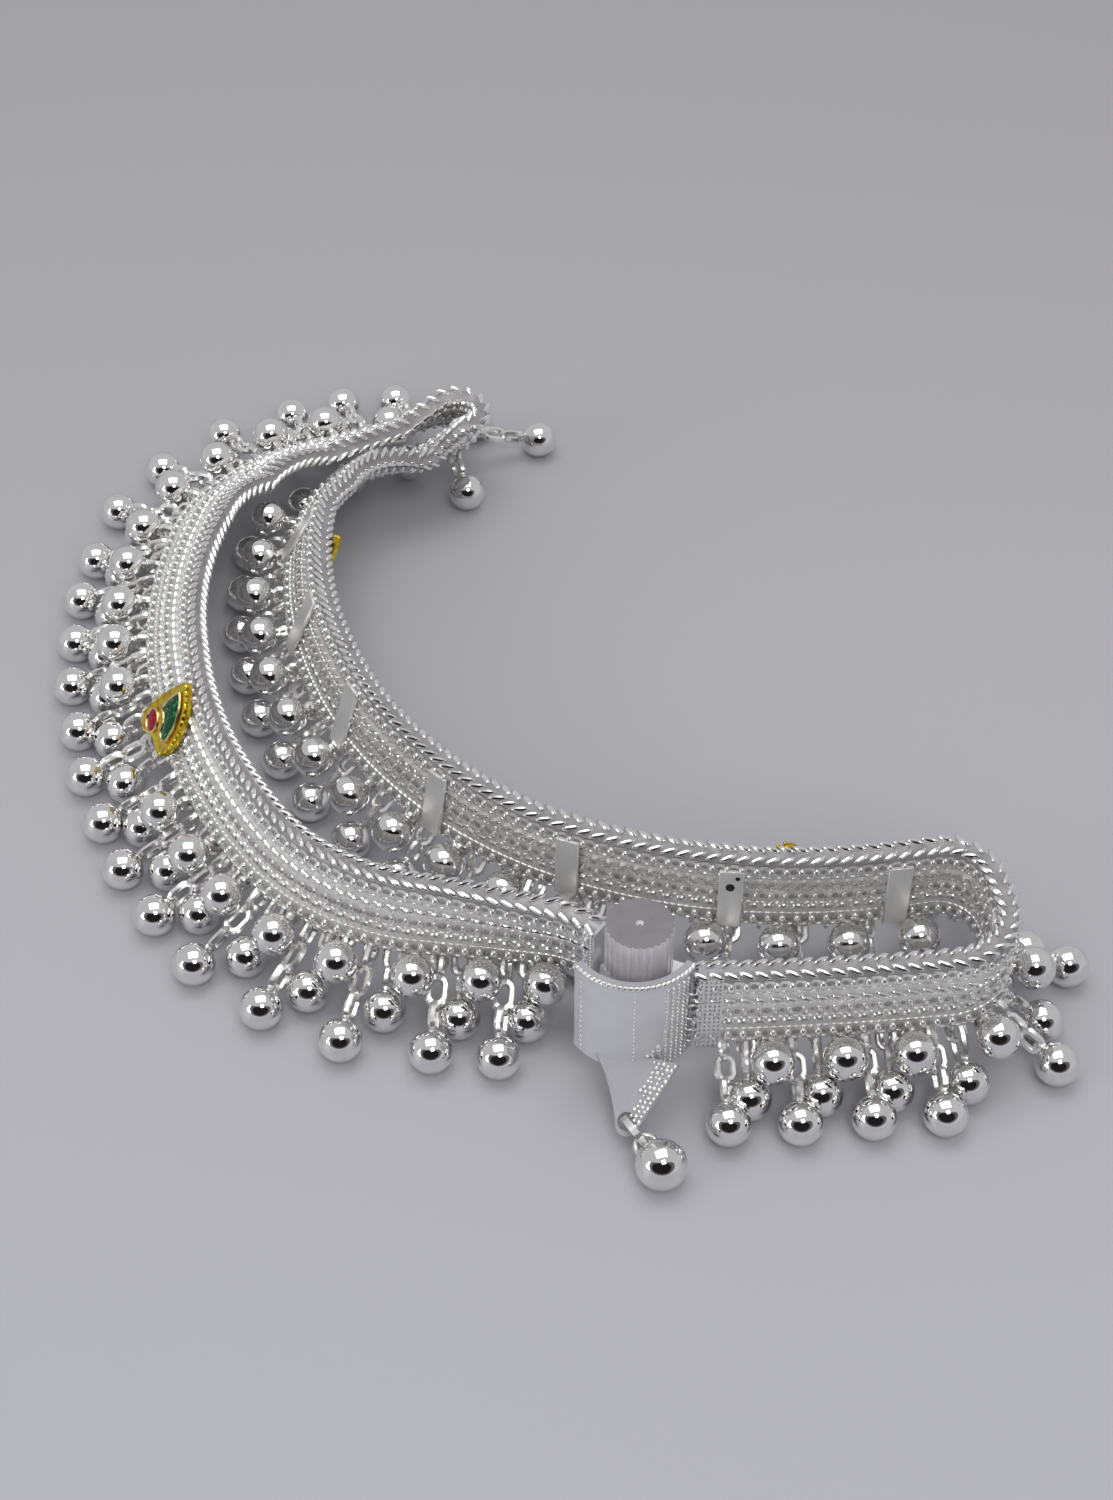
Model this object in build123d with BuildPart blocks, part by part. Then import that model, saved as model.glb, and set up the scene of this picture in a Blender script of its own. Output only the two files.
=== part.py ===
"""Payal: a silver anklet laid down closed, on its bells.

A wide strip of knitted chain runs all the way round.  It has a herringbone braid along its top
edge and a fringe of round bells along its foot.  Its two ends meet at a screw clasp behind a
curved cover plate.  Millimetres, +Z up, the bells standing on Z = 0.
"""

from build123d import *
from math import cos, radians, sin, sqrt
import os

os.makedirs("parts", exist_ok=True)

# ---------------------------------------------------------------- driving dimensions

STRIP_WIDTH = 9.3        # foot to top of the strip, measured along its face
FOOT_HEIGHT = 4.6        # the strip's foot above the surface, carried by the bells
PIECES_ROUND = 13        # lengths of strip between solder joints
JOINT_GAP = 0.10         # left between neighbouring pieces
ROW_GAP = 0.35           # left under the braid and over the rings, where the strip twists
STATION_SPACING = 3.0    # between the strip's cross-sections where it runs easy
SHORTEST_STEP = 0.3
STATION_TURN = 12        # and the most it turns from one to the next, in degrees

BRAID_HEIGHT = 2.2       # herringbone braid along the top edge
BRAID_THICK = 2.3
BRAID_CORNER = 0.7
ROWS_THICK = 1.7         # knitted rows under it
RING_ROW_HEIGHT = 1.2    # row of rings along the foot, which carries the bells
RING_ROW_THICK = 1.2

STAY_SPACING = 15.1      # flat plates soldered up the inner face
STAY_FIRST = 3.8
STAY_WIDTH = 2.4
STAY_THICK = 0.45
STAY_SHORT = 0.4         # shorter than the rows, for the twist
STAY_SINK = 0.15         # how far a stay is let into the rows

BELL_DIAMETER = 3.9
LINK_DIAMETER = 0.7
LINK_RISE = 0.45         # where a link leaves the ring row
HOOK_MARGIN = 0.5        # least from a link to the end of its piece of strip

END_CAP_LENGTH = 1.4
END_CAP_THICK = 2.6
END_CAP_CORNER = 0.5

# The route of the strip's foot, seen from above and walked clockwise from the clasp.
# Each leg is a straight run or one arc, tangent to the last.  The lean is how far the
# strip's top edge stands from its foot, towards +X and +Y, at the end of the leg.  The
# spread is how far the longest bells lie from the foot there.
ROUTE_START = (5.74, -35.96)
ROUTE_HEADING = 140
START_LEAN = (0.0, -2.0)
START_SPREAD = 8.6
ROUTE = [
    # leg                    length   turn   lean_x  lean_y  spread
    ("clasp bend",              6.0,    36,   -0.1,   -1.4,    8.8),
    ("front left run",          9.5,     0,    0.2,    0.5,    8.8),
    ("front left bend",        20.0,   -49,    2.3,    2.0,    8.2),
    ("left side, front half",  25.5,   -22,    5.2,    1.3,    7.6),
    ("left side, back half",   25.5,   -22,    7.2,   -1.0,    8.0),
    ("back left bend, front",  11.5,   -31,    6.7,   -4.6,    9.6),
    ("back left bend, back",   11.5,   -31,    3.3,   -7.3,   10.4),
    ("back run",                9.0,     0,    2.8,   -6.9,   10.0),
    ("back end",                5.5,     0,    2.2,   -5.3,    8.4),
    ("back fold",               8.8,  -180,    2.2,   -5.3,    8.4),
    ("inner back run",          7.0,     0,    5.3,   -6.0,    9.2),
    ("inner back bend",        14.0,    58,    6.2,   -1.2,    9.2),
    ("inner left, upper",       6.0,     9,    4.8,    0.0,    9.2),
    ("inner left, lower",      25.0,    26,    3.2,    1.4,    9.2),
    ("inner front bend",       31.5,    39,    0.2,    0.1,    9.2),
    ("inner front run",        27.0,    31,    0.0,    0.0,    8.8),
    ("inner right run",         9.0,     7,    0.0,    0.0,    8.0),
    ("right back corner",       6.5,   -91,    0.0,    0.0,    7.7),
    ("right end",               3.0,     0,    0.0,    0.0,    7.2),
    ("right front corner",      9.5,   -93,    0.0,    0.0,    7.2),
    ("front right run",        21.0,    -5,    0.0,    0.2,    6.9),
]

# The fringe repeats every pattern length: where each bell hangs along the strip, how far
# out it lies between the nearest bells (0) and the spread (1), and how high its centre is.
FRINGE_PATTERN = 12.0
FRINGE = [
    # along  share  height
    (0.0,     1.00,  1.95),
    (2.0,     0.00,  5.20),
    (4.0,     0.28,  1.95),
    (6.1,     1.04,  1.95),
    (8.1,     0.02,  5.30),
    (10.0,    0.30,  1.95),
]
NEAREST_BELL = 3.15
FRINGE_FIRST = 2.6
FRINGE_START = 4.0       # no bell this near the clasp
FOLD_BELL_REACH = 2.8    # short bells between the two walls of the back fold

# Clasp
AXIS = (8.84, -40.46)     # the screw's axis, seen from above
HEAD_DIAMETER = 5.8
HEAD_BOTTOM = 11.9
HEAD_TOP = 16.8
FLUTES = 28
FLUTE_RADIUS = 0.2
FLUTE_ASIDE = 0.08       # how far a flute's middle lies outside the head
PUNCH_RADIUS = 0.35       # centre punch mark in the head
PUNCH_LIFT = 0.1
PIN_DIAMETER = 2.0
PIN_BOTTOM = 4.7
PIN_OVERLAP = 0.5        # how far the pin runs up into the head
PIN_CLEARANCE = 0.07     # all round the pin in its knuckles
KNUCKLE_DIAMETER = 4.4
KNUCKLE_BOTTOM = 4.3
KNUCKLE_SPLIT = 8.0
KNUCKLE_TOP = 11.8
ARM_THICK = 1.5
ARM_ASIDE = 0.8          # the right arm runs behind the plate's edge
ARM_STOP = 1.0           # short of the end of the strip, where the end cap begins

PLATE_CENTRE = (8.44, -39.46)
PLATE_RADIUS = 5.9       # outer face
PLATE_THICK = 0.8
PLATE_BOTTOM = 3.7
PLATE_TOP = 14.1
PLATE_LEFT = 217         # the plate's two edges, as angles about its centre
PLATE_RIGHT = 325
TAIL_EYE = 1.6

TAIL_BELL = (10.64, -54.16, 2.2)
TAIL_BELL_DIAMETER = 4.4
TAIL_RING_RADIUS = 0.9
TAIL_RING_WIRE = 0.5
TAIL_LINK = (3.4, 3.2)   # outside length and width
TAIL_WIRE = 0.6

# Enamelled mango motifs, on the outer face
MOTIFS = [
    # name     along   off    enamel of the large field and of the small one
    ("left",     55,   0.46,  ("green", "red")),
    ("inner",   166,   0.52,  ("red", "blue")),
    ("front",   240,   0.54,  ("green", "red")),
]
MOTIF_CLEAR = 6.0        # no high bells this near the middle of one
MOTIF_THICK = 0.8
MOTIF_RISE = 4.3         # the middle of the motif above the strip's foot
ENAMEL_DEPTH = 0.45
ENAMEL_FIT = 0.04        # all round each enamel in its pocket

# Outlines as arcs, each through three points
MOTIF_OUTLINE = [
    ((-4.08, -3.23), (-2.28, 0.76), (-0.1, 3.89)),
    ((-0.1, 3.89), (0.38, 4.13), (0.85, 3.89)),
    ((0.85, 3.89), (3.32, 1.23), (3.13, -2.09)),
    ((3.13, -2.09), (2.38, -3.32), (0.95, -3.42)),
    ((0.95, -3.42), (-0.38, -3.42), (-1.52, -3.89)),
    ((-1.52, -3.89), (-3.13, -4.18), (-4.08, -3.23)),
]
LARGE_FIELD = [
    ((-1.04, -0.28), (-0.57, 1.33), (0.38, 2.75)),
    ((0.38, 2.75), (2.09, 1.14), (2.28, -0.85)),
    ((2.28, -0.85), (1.71, -1.9), (0.76, -1.61)),
    ((0.76, -1.61), (0.19, -0.66), (-1.04, -0.28)),
]
SMALL_FIELD = [
    ((-2.85, -2.56), (-1.71, -1.33), (-0.57, -2.18)),
    ((-0.57, -2.18), (-1.71, -3.42), (-2.85, -2.56)),
]


# ---------------------------------------------------------------- the route

def unit(angle):
    """A level direction from its angle in degrees."""
    return Vector(cos(radians(angle)), sin(radians(angle)), 0)


def arc_step(length, turn):
    """How far a leg goes straight ahead of its middle heading."""
    if turn == 0:
        return length
    return length * sin(radians(turn) / 2) / (radians(turn) / 2)


def lay_legs():
    """The legs of the route, each with where it starts."""
    legs, along, heading = [], 0.0, ROUTE_HEADING
    foot, lean = Vector(*ROUTE_START, FOOT_HEIGHT), Vector(*START_LEAN, START_SPREAD)
    for name, length, turn, lean_x, lean_y, spread in ROUTE:
        next_lean = Vector(lean_x, lean_y, spread)
        legs.append((along, length, turn, foot, heading, lean, next_lean))
        foot = foot + unit(heading + turn / 2) * arc_step(length, turn)
        along, heading, lean = along + length, heading + turn, next_lean
    return legs


LEGS = lay_legs()
ROUTE_LENGTH = sum(leg[1] for leg in LEGS)


def spread_at(along):
    """How far the longest bells lie from the foot at a place along the strip."""
    start, length, turn, foot, heading, lean, next_lean = leg_at(along)
    return lean.Z + (next_lean.Z - lean.Z) * (along - start) / length


def leg_at(along):
    """The leg of the route that a place along the strip falls in."""
    for leg in LEGS:
        if along <= leg[0] + leg[1]:
            break
    return leg


def strip_plane(along, rise=0.0, out=0.0):
    """The strip's own plane at a place along it: X out of the loop, Y up its face, Z onward."""
    start, length, turn, foot, heading, lean, next_lean = leg_at(along)
    part = (along - start) / length
    here = foot + unit(heading + turn * part / 2) * arc_step(length * part, turn * part)
    level = lean + (next_lean - lean) * part
    level = Vector(level.X, level.Y, 0)
    up = (level + Vector(0, 0, sqrt(STRIP_WIDTH**2 - level.length**2))).normalized()
    onward = unit(heading + turn * part)
    outward = up.cross(onward).normalized()
    return Plane(here + up * rise + outward * out, x_dir=outward, z_dir=outward.cross(up))


def stations(first, last):
    """Places from first to last, closer together where the strip bends tightly."""
    places = [first]
    while last - places[-1] > 0:
        start, length, turn = leg_at(places[-1] + 0.01)[:3]
        step = min(STATION_SPACING, STATION_TURN * length / max(abs(turn), 1))
        places.append(places[-1] + step)
    places[-1] = last
    if places[-1] - places[-2] < SHORTEST_STEP:
        del places[-2]
    return places


def piece_span(i):
    """Where piece i of the strip starts and ends, between the two end caps."""
    first, last = END_CAP_LENGTH, ROUTE_LENGTH - END_CAP_LENGTH
    pitch = (last - first) / PIECES_ROUND
    return first + pitch * i + JOINT_GAP / 2, first + pitch * (i + 1) - JOINT_GAP / 2


def save(builder, name):
    builder.part.label = name
    export_step(builder.part, f"parts/{name}.step")


# ---------------------------------------------------------------- braid, rows and stays

rows_bottom = RING_ROW_HEIGHT + ROW_GAP
rows_top = STRIP_WIDTH - BRAID_HEIGHT - ROW_GAP
rows_height = rows_top - rows_bottom
stay_count = int((ROUTE_LENGTH - STAY_FIRST) / STAY_SPACING) + 1
stay_places = [STAY_FIRST + STAY_SPACING * i for i in range(stay_count)]

for i in range(PIECES_ROUND):
    first, last = piece_span(i)

    with BuildPart() as top_braid:
        for along in stations(first, last):
            with BuildSketch(strip_plane(along, rise=STRIP_WIDTH - BRAID_HEIGHT / 2)):
                RectangleRounded(BRAID_THICK, BRAID_HEIGHT, BRAID_CORNER)
        loft(ruled=True)
    save(top_braid, f"top_braid_{i + 1:02d}")

    with BuildPart() as chain_rows:
        for along in stations(first, last):
            with BuildSketch(strip_plane(along, rise=rows_bottom + rows_height / 2)):
                Rectangle(ROWS_THICK, rows_height)
        loft(ruled=True)
        for along in stay_places:
            if first + STAY_WIDTH / 2 < along < last - STAY_WIDTH / 2:
                stay_out = -ROWS_THICK / 2 - STAY_THICK / 2 + STAY_SINK
                stay = strip_plane(along, rise=rows_bottom + rows_height / 2, out=stay_out)
                with Locations(stay):
                    Box(STAY_THICK, rows_height - STAY_SHORT, STAY_WIDTH)
    save(chain_rows, f"chain_rows_{i + 1:02d}")


# ---------------------------------------------------------------- bell fringe

def leg_end(name):
    """Where a named leg of the route ends."""
    ends = {row[0]: leg[0] + leg[1] for row, leg in zip(ROUTE, LEGS)}
    return ends[name]


inner_from = leg_end("back fold")
inner_to = leg_end("inner right run")
fold_from = leg_end("back run")
fold_to = leg_end("inner back bend")


def hang_bells():
    """Every bell as its place along the strip, its reach out of the loop and its height."""
    bells = []
    for repeat in range(int(ROUTE_LENGTH / FRINGE_PATTERN) + 1):
        for offset, share, height in FRINGE:
            along = FRINGE_FIRST + repeat * FRINGE_PATTERN + offset
            if not FRINGE_START < along < ROUTE_LENGTH - END_CAP_LENGTH:
                continue
            beside_motif = any(abs(along - row[1]) < MOTIF_CLEAR for row in MOTIFS)
            reach = NEAREST_BELL + share * (spread_at(along) - NEAREST_BELL)
            if fold_from < along < inner_from and share < 0.1:
                continue
            if inner_from < along < fold_to:
                if share < 0.1:
                    bells.append((along, -FOLD_BELL_REACH, BELL_DIAMETER / 2))
            elif fold_to < along < inner_to:
                if share < 0.5:
                    bells.append((along, -reach, height))
            elif share > 0.1 or not beside_motif:
                bells.append((along, reach, height))
    return bells


BELLS = hang_bells()


def bell_centre(along, reach, height):
    """A bell lies level with its link's foot, straight out from the strip."""
    plane = strip_plane(along)
    outward = Vector(plane.x_dir.X, plane.x_dir.Y, 0).normalized()
    return Vector(plane.origin.X, plane.origin.Y, height) + outward * reach


for i in range(PIECES_ROUND):
    first, last = piece_span(i)
    with BuildPart() as bell_fringe:
        for along in stations(first, last):
            with BuildSketch(strip_plane(along, rise=RING_ROW_HEIGHT / 2)):
                Rectangle(RING_ROW_THICK, RING_ROW_HEIGHT)
        loft(ruled=True)
        for along, reach, height in BELLS:
            if first <= along < last + JOINT_GAP:
                hook_at = min(max(along, first + HOOK_MARGIN), last - HOOK_MARGIN)
                hook = strip_plane(hook_at, rise=LINK_RISE).origin
                centre = bell_centre(along, reach, height)
                with BuildSketch(Plane(hook, z_dir=centre - hook)):
                    Circle(LINK_DIAMETER / 2)
                extrude(amount=(centre - hook).length - BELL_DIAMETER / 4)
                with Locations(Plane(centre, z_dir=centre - hook)):
                    Sphere(BELL_DIAMETER / 2)
    save(bell_fringe, f"bell_fringe_{i + 1:02d}")


# ---------------------------------------------------------------- end caps

cap_spans = {
    "left_end_cap": (0.0, END_CAP_LENGTH - JOINT_GAP / 2),
    "right_end_cap": (ROUTE_LENGTH - END_CAP_LENGTH + JOINT_GAP / 2, ROUTE_LENGTH),
}
for name, (first, last) in cap_spans.items():
    with BuildPart() as end_cap:
        for along in (first, (first + last) / 2, last):
            with BuildSketch(strip_plane(along, rise=STRIP_WIDTH / 2)):
                RectangleRounded(END_CAP_THICK, STRIP_WIDTH, END_CAP_CORNER)
        loft(ruled=True)
    save(end_cap, name)


# ---------------------------------------------------------------- clasp

axis_point = Vector(*AXIS, 0)

with BuildPart() as clasp_screw:
    with BuildSketch(Plane.XY.offset(HEAD_BOTTOM)):
        with Locations(AXIS):
            Circle(HEAD_DIAMETER / 2)
            with PolarLocations(HEAD_DIAMETER / 2 + FLUTE_ASIDE, FLUTES):
                Circle(FLUTE_RADIUS, mode=Mode.SUBTRACT)
    extrude(amount=HEAD_TOP - HEAD_BOTTOM)
    with BuildSketch(Plane.XY.offset(PIN_BOTTOM)):
        with Locations(AXIS):
            Circle(PIN_DIAMETER / 2)
    extrude(amount=HEAD_BOTTOM - PIN_BOTTOM + PIN_OVERLAP)
    with Locations((*AXIS, HEAD_TOP + PUNCH_LIFT)):
        Sphere(PUNCH_RADIUS, mode=Mode.SUBTRACT)
save(clasp_screw, "clasp_screw")


def build_knuckle(name, cap_along, bottom, top, aside=0.0):
    """One half of the hinge: a tube round the pin, with an arm to its end cap."""
    cap = strip_plane(cap_along).origin
    cap = Vector(cap.X, cap.Y, 0)
    reach = (cap - axis_point).length
    along_arm = (cap - axis_point).normalized()
    arm_length = reach - ARM_STOP
    with BuildPart() as knuckle:
        with BuildSketch(Plane(Vector(*AXIS, bottom), x_dir=along_arm, z_dir=(0, 0, 1))):
            Circle(KNUCKLE_DIAMETER / 2)
            with Locations((arm_length / 2, aside)):
                Rectangle(arm_length, ARM_THICK)
            Circle(PIN_DIAMETER / 2 + PIN_CLEARANCE, mode=Mode.SUBTRACT)
        extrude(amount=top - bottom)
    save(knuckle, name)


build_knuckle("left_knuckle", 0.0, KNUCKLE_BOTTOM, KNUCKLE_SPLIT - JOINT_GAP / 2)
right_bottom = KNUCKLE_SPLIT + JOINT_GAP / 2
build_knuckle("right_knuckle", ROUTE_LENGTH, right_bottom, KNUCKLE_TOP, aside=ARM_ASIDE)

# The cover plate is a bent sheet.  Below its right half a tongue slopes forward and down
# to the eye that holds the last bell.
tail_top = Vector(9.54, -44.96, PLATE_BOTTOM + 1.2)
tail_down = Vector(-1.6, -5.2, -3.2).normalized()
tail_across = Vector(1, -0.31, 0).normalized()
tail_plane = Plane(tail_top, x_dir=tail_across, z_dir=tail_across.cross(-tail_down))

with BuildPart() as clasp_cover_plate:
    with BuildSketch(Plane.XY.offset(PLATE_BOTTOM)):
        with BuildLine():
            centre = Vector(*PLATE_CENTRE)
            inner_radius = PLATE_RADIUS - PLATE_THICK
            outer = CenterArc(centre, PLATE_RADIUS, PLATE_LEFT, PLATE_RIGHT - PLATE_LEFT)
            inner = CenterArc(centre, inner_radius, PLATE_LEFT, PLATE_RIGHT - PLATE_LEFT)
            Line(outer @ 0, inner @ 0)
            Line(outer @ 1, inner @ 1)
        make_face()
    extrude(amount=PLATE_TOP - PLATE_BOTTOM)
    with BuildSketch(tail_plane):
        with BuildLine():
            top_left, top_right, tip_left, tip_right = (-2.9, 0), (2.9, 0), (-1.1, -6.1), (0.8, -6.1)
            Line(top_left, top_right)
            Line(top_right, tip_right)
            ThreePointArc(tip_right, (-0.15, -6.95), tip_left)
            ThreePointArc(tip_left, (-1.5, -3.2), top_left)
        make_face()
        with Locations((-0.2, -5.7)):
            Circle(TAIL_EYE / 2, mode=Mode.SUBTRACT)
    extrude(amount=PLATE_THICK / 2, both=True)
save(clasp_cover_plate, "clasp_cover_plate")

# The last bell hangs from the eye on a loop of wire.
eye = tail_plane.from_local_coords(Vector(-0.2, -5.7, 0))
bell_middle = Vector(*TAIL_BELL)
link_run = (bell_middle - eye).normalized()
link_side = link_run.cross(tail_plane.z_dir).normalized()
link_plane = Plane(eye, x_dir=link_run, z_dir=link_side)
ring_up = link_side.cross(link_run)
bell_face = (bell_middle - eye).length - TAIL_BELL_DIAMETER / 2

with BuildPart() as tail_link:
    with BuildSketch(link_plane):
        with Locations((bell_face - JOINT_GAP - TAIL_LINK[0] / 2, 0)):
            SlotOverall(*TAIL_LINK)
            offset(amount=-TAIL_WIRE, mode=Mode.SUBTRACT)
    extrude(amount=TAIL_WIRE / 2, both=True)
save(tail_link, "tail_link")

with BuildPart() as tail_bell:
    with Locations(bell_middle):
        Sphere(TAIL_BELL_DIAMETER / 2)
    with Locations(Plane(eye + link_run * (bell_face - 0.25), x_dir=link_run, z_dir=ring_up)):
        Torus(TAIL_RING_RADIUS, TAIL_RING_WIRE / 2)
save(tail_bell, "tail_bell")


# ---------------------------------------------------------------- enamelled motifs

def motif_plane(along, off, lift=0.0):
    """A plane on the strip's outer face: X back towards the clasp, Y up the face."""
    plane = strip_plane(along, rise=MOTIF_RISE, out=ROWS_THICK / 2 + off + lift)
    return Plane(plane.origin, x_dir=-plane.z_dir, z_dir=plane.x_dir)


for name, along, off, colours in MOTIFS:
    with BuildPart() as motif:
        with BuildSketch(motif_plane(along, off)):
            with BuildLine():
                for start, middle, end in MOTIF_OUTLINE:
                    ThreePointArc(start, middle, end)
            make_face()
        extrude(amount=MOTIF_THICK)
        for field in (LARGE_FIELD, SMALL_FIELD):
            with BuildSketch(motif_plane(along, off, lift=MOTIF_THICK)):
                with BuildLine():
                    for start, middle, end in field:
                        ThreePointArc(start, middle, end)
                make_face()
                offset(amount=ENAMEL_FIT, kind=Kind.INTERSECTION)
            extrude(amount=-ENAMEL_DEPTH, mode=Mode.SUBTRACT)
    save(motif, f"motif_{name}")
    for colour, field in zip(colours, (LARGE_FIELD, SMALL_FIELD)):
        with BuildPart() as enamel:
            with BuildSketch(motif_plane(along, off, lift=MOTIF_THICK)):
                with BuildLine():
                    for start, middle, end in field:
                        ThreePointArc(start, middle, end)
                make_face()
            extrude(amount=ENAMEL_FIT - ENAMEL_DEPTH)
        save(enamel, f"motif_{name}_{colour}")
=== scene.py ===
"""A silver payal lying closed on its bells: its looks, piece by piece, and the studio round it."""

import bmesh
import bpy
import random
from math import atan2, cos, pi, radians, sin, sqrt
from mathutils import Matrix, Vector


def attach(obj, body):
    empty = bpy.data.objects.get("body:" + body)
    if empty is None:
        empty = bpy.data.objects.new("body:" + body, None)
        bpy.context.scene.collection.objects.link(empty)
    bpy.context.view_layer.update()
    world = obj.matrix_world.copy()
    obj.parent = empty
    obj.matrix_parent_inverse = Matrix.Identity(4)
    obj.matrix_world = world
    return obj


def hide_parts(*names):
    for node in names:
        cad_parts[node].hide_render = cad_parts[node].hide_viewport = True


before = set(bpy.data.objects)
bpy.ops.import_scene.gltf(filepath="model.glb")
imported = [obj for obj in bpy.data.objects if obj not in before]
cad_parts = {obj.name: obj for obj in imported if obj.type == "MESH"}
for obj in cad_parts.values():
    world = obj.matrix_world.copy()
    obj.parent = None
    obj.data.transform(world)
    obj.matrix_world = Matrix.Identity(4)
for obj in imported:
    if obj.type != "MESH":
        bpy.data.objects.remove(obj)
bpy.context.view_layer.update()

# ------------------------------------------------------------------ the top braid
# A round foxtail chain runs along the strip's top edge.  Silver wire loops are threaded
# through one another so that every side shows a column of Vs, their points facing onward.
# It is soldered to the knitted rows under it.

MM = 0.001
STRIP_WIDTH = 9.3
FOOT_HEIGHT = 4.6       # the strip's foot over the table
BRAID_PITCH = 1.28      # one stitch of the braid, and of the knitting under it

# The strip's foot, walked clockwise from the clasp: straight runs and tangent arcs, with
# the lean of the top edge and the spread of the bells at the end of each leg (mm).
ROUTE_START = (5.74, -35.96)
ROUTE_HEADING = 140
START_LEAN = (0.0, -2.0)
START_SPREAD = 8.6
ROUTE = [
    # length   turn   lean_x  lean_y  spread
    (6.0,    36,   -0.1,   -1.4,    8.8),
    (9.5,     0,    0.2,    0.5,    8.8),
    (20.0,  -49,    2.3,    2.0,    8.2),
    (25.5,  -22,    5.2,    1.3,    7.6),
    (25.5,  -22,    7.2,   -1.0,    8.0),
    (11.5,  -31,    6.7,   -4.6,    9.6),
    (11.5,  -31,    3.3,   -7.3,   10.4),
    (9.0,     0,    2.8,   -6.9,   10.0),
    (5.5,     0,    2.2,   -5.3,    8.4),
    (8.8,  -180,    2.2,   -5.3,    8.4),
    (7.0,     0,    5.3,   -6.0,    9.2),
    (14.0,   58,    6.2,   -1.2,    9.2),
    (6.0,     9,    4.8,    0.0,    9.2),
    (25.0,   26,    3.2,    1.4,    9.2),
    (31.5,   39,    0.2,    0.1,    9.2),
    (27.0,   31,    0.0,    0.0,    8.8),
    (9.0,     7,    0.0,    0.0,    8.0),
    (6.5,   -91,    0.0,    0.0,    7.7),
    (3.0,     0,    0.0,    0.0,    7.2),
    (9.5,   -93,    0.0,    0.0,    7.2),
    (21.0,   -5,    0.0,    0.2,    6.9),
]
ROUTE_LENGTH = sum(row[0] for row in ROUTE)


def level_unit(angle):
    """The level direction at an angle in degrees."""
    return Vector((cos(radians(angle)), sin(radians(angle)), 0))


def arc_step(length, turn):
    """How far apart the ends of an arc are, of that length and turn."""
    half = radians(turn) / 2
    return length if turn == 0 else length * sin(half) / half


def lay_legs():
    """Each leg of the route with where it starts, heads and leans, and its lean at the end."""
    legs, along, heading = [], 0.0, ROUTE_HEADING
    foot, lean = Vector((*ROUTE_START, FOOT_HEIGHT)), Vector((*START_LEAN, START_SPREAD))
    for length, turn, lean_x, lean_y, spread in ROUTE:
        next_lean = Vector((lean_x, lean_y, spread))
        legs.append((along, length, turn, foot, heading, lean, next_lean))
        foot = foot + level_unit(heading + turn / 2) * arc_step(length, turn)
        along, heading, lean = along + length, heading + turn, next_lean
    return legs


LEGS = lay_legs()


def leg_at(along):
    """The leg at a place along the strip."""
    for leg in LEGS:
        if along <= leg[0] + leg[1]:
            break
    return leg


def strip_at(along):
    """The strip's foot at a place along it, with its outward, upward and onward directions."""
    start, length, turn, foot, heading, lean, next_lean = leg_at(along)
    part = (along - start) / length
    here = foot + level_unit(heading + turn * part / 2) * arc_step(length * part, turn * part)
    level = (lean + (next_lean - lean) * part).to_2d()
    up = Vector((level.x, level.y, sqrt(STRIP_WIDTH**2 - level.length_squared))) / STRIP_WIDTH
    outward = up.cross(level_unit(heading + turn * part)).normalized()
    return here, outward, up, outward.cross(up)


def linear(hex_colour):
    """An sRGB colour written as hex, as the linear colour a shader takes."""
    channels = [int(hex_colour[i:i + 2], 16) / 255 for i in (0, 2, 4)]
    return [c / 12.92 if c <= 0.04045 else ((c + 0.055) / 1.055) ** 2.4 for c in channels] + [1]


def add_node(tree, kind, inputs=None, links=None, **settings):
    """One node, with its settings, its fixed inputs and what is linked into it."""
    made = tree.nodes.new(kind)
    for name, value in settings.items():
        setattr(made, name, value)
    for key, value in (inputs or {}).items():
        made.inputs[key].default_value = value
    for key, socket in (links or {}).items():
        tree.links.new(socket, made.inputs[key])
    return made


def metal(name, bright, dull, smooth, rough, patch, grain=0.0, metallic=1.0):
    """A metal that wanders between two tones and two roughnesses in patches that wide (mm).
    A grain above 0 makes it finely lumpy, in lumps that wide."""
    patch_from, patch_to = 0.35, 0.65
    material = bpy.data.materials.new(name)
    material.use_nodes = True
    tree = material.node_tree
    shader = tree.nodes["Principled BSDF"]
    shader.inputs["Metallic"].default_value = metallic
    where = add_node(tree, "ShaderNodeTexCoord")
    cloud = add_node(tree, "ShaderNodeTexNoise", {"Scale": 1 / (patch * MM), "Detail": 3.0},
                     {"Vector": where.outputs["Object"]})
    tone = add_node(tree, "ShaderNodeValToRGB", links={"Fac": cloud.outputs["Fac"]})
    tone.color_ramp.elements[0].color = linear(dull)
    tone.color_ramp.elements[0].position = patch_from
    tone.color_ramp.elements[1].color = linear(bright)
    tone.color_ramp.elements[1].position = patch_to
    wear = add_node(tree, "ShaderNodeMapRange",
                    {"From Min": patch_from, "From Max": patch_to,
                     "To Min": rough, "To Max": smooth}, {"Value": cloud.outputs["Fac"]})
    tree.links.new(tone.outputs["Color"], shader.inputs["Base Color"])
    tree.links.new(wear.outputs["Result"], shader.inputs["Roughness"])
    if grain:
        lumps = add_node(tree, "ShaderNodeTexVoronoi", {"Scale": 1 / (grain * MM)},
                         {"Vector": where.outputs["Object"]}, feature="SMOOTH_F1")
        relief = add_node(tree, "ShaderNodeBump", {"Strength": 0.16, "Distance": 0.1 * MM},
                          {"Height": lumps.outputs["Distance"]}, invert=True)
        tree.links.new(relief.outputs["Normal"], shader.inputs["Normal"])
    return material


# Fine silver wire, tumbled bright: a pale metal with soft small glints.
silver_wire = metal("silver wire tumbled", "F8F7F5", "E8E7E5", 0.20, 0.30, 1.5, metallic=0.9)
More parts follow.
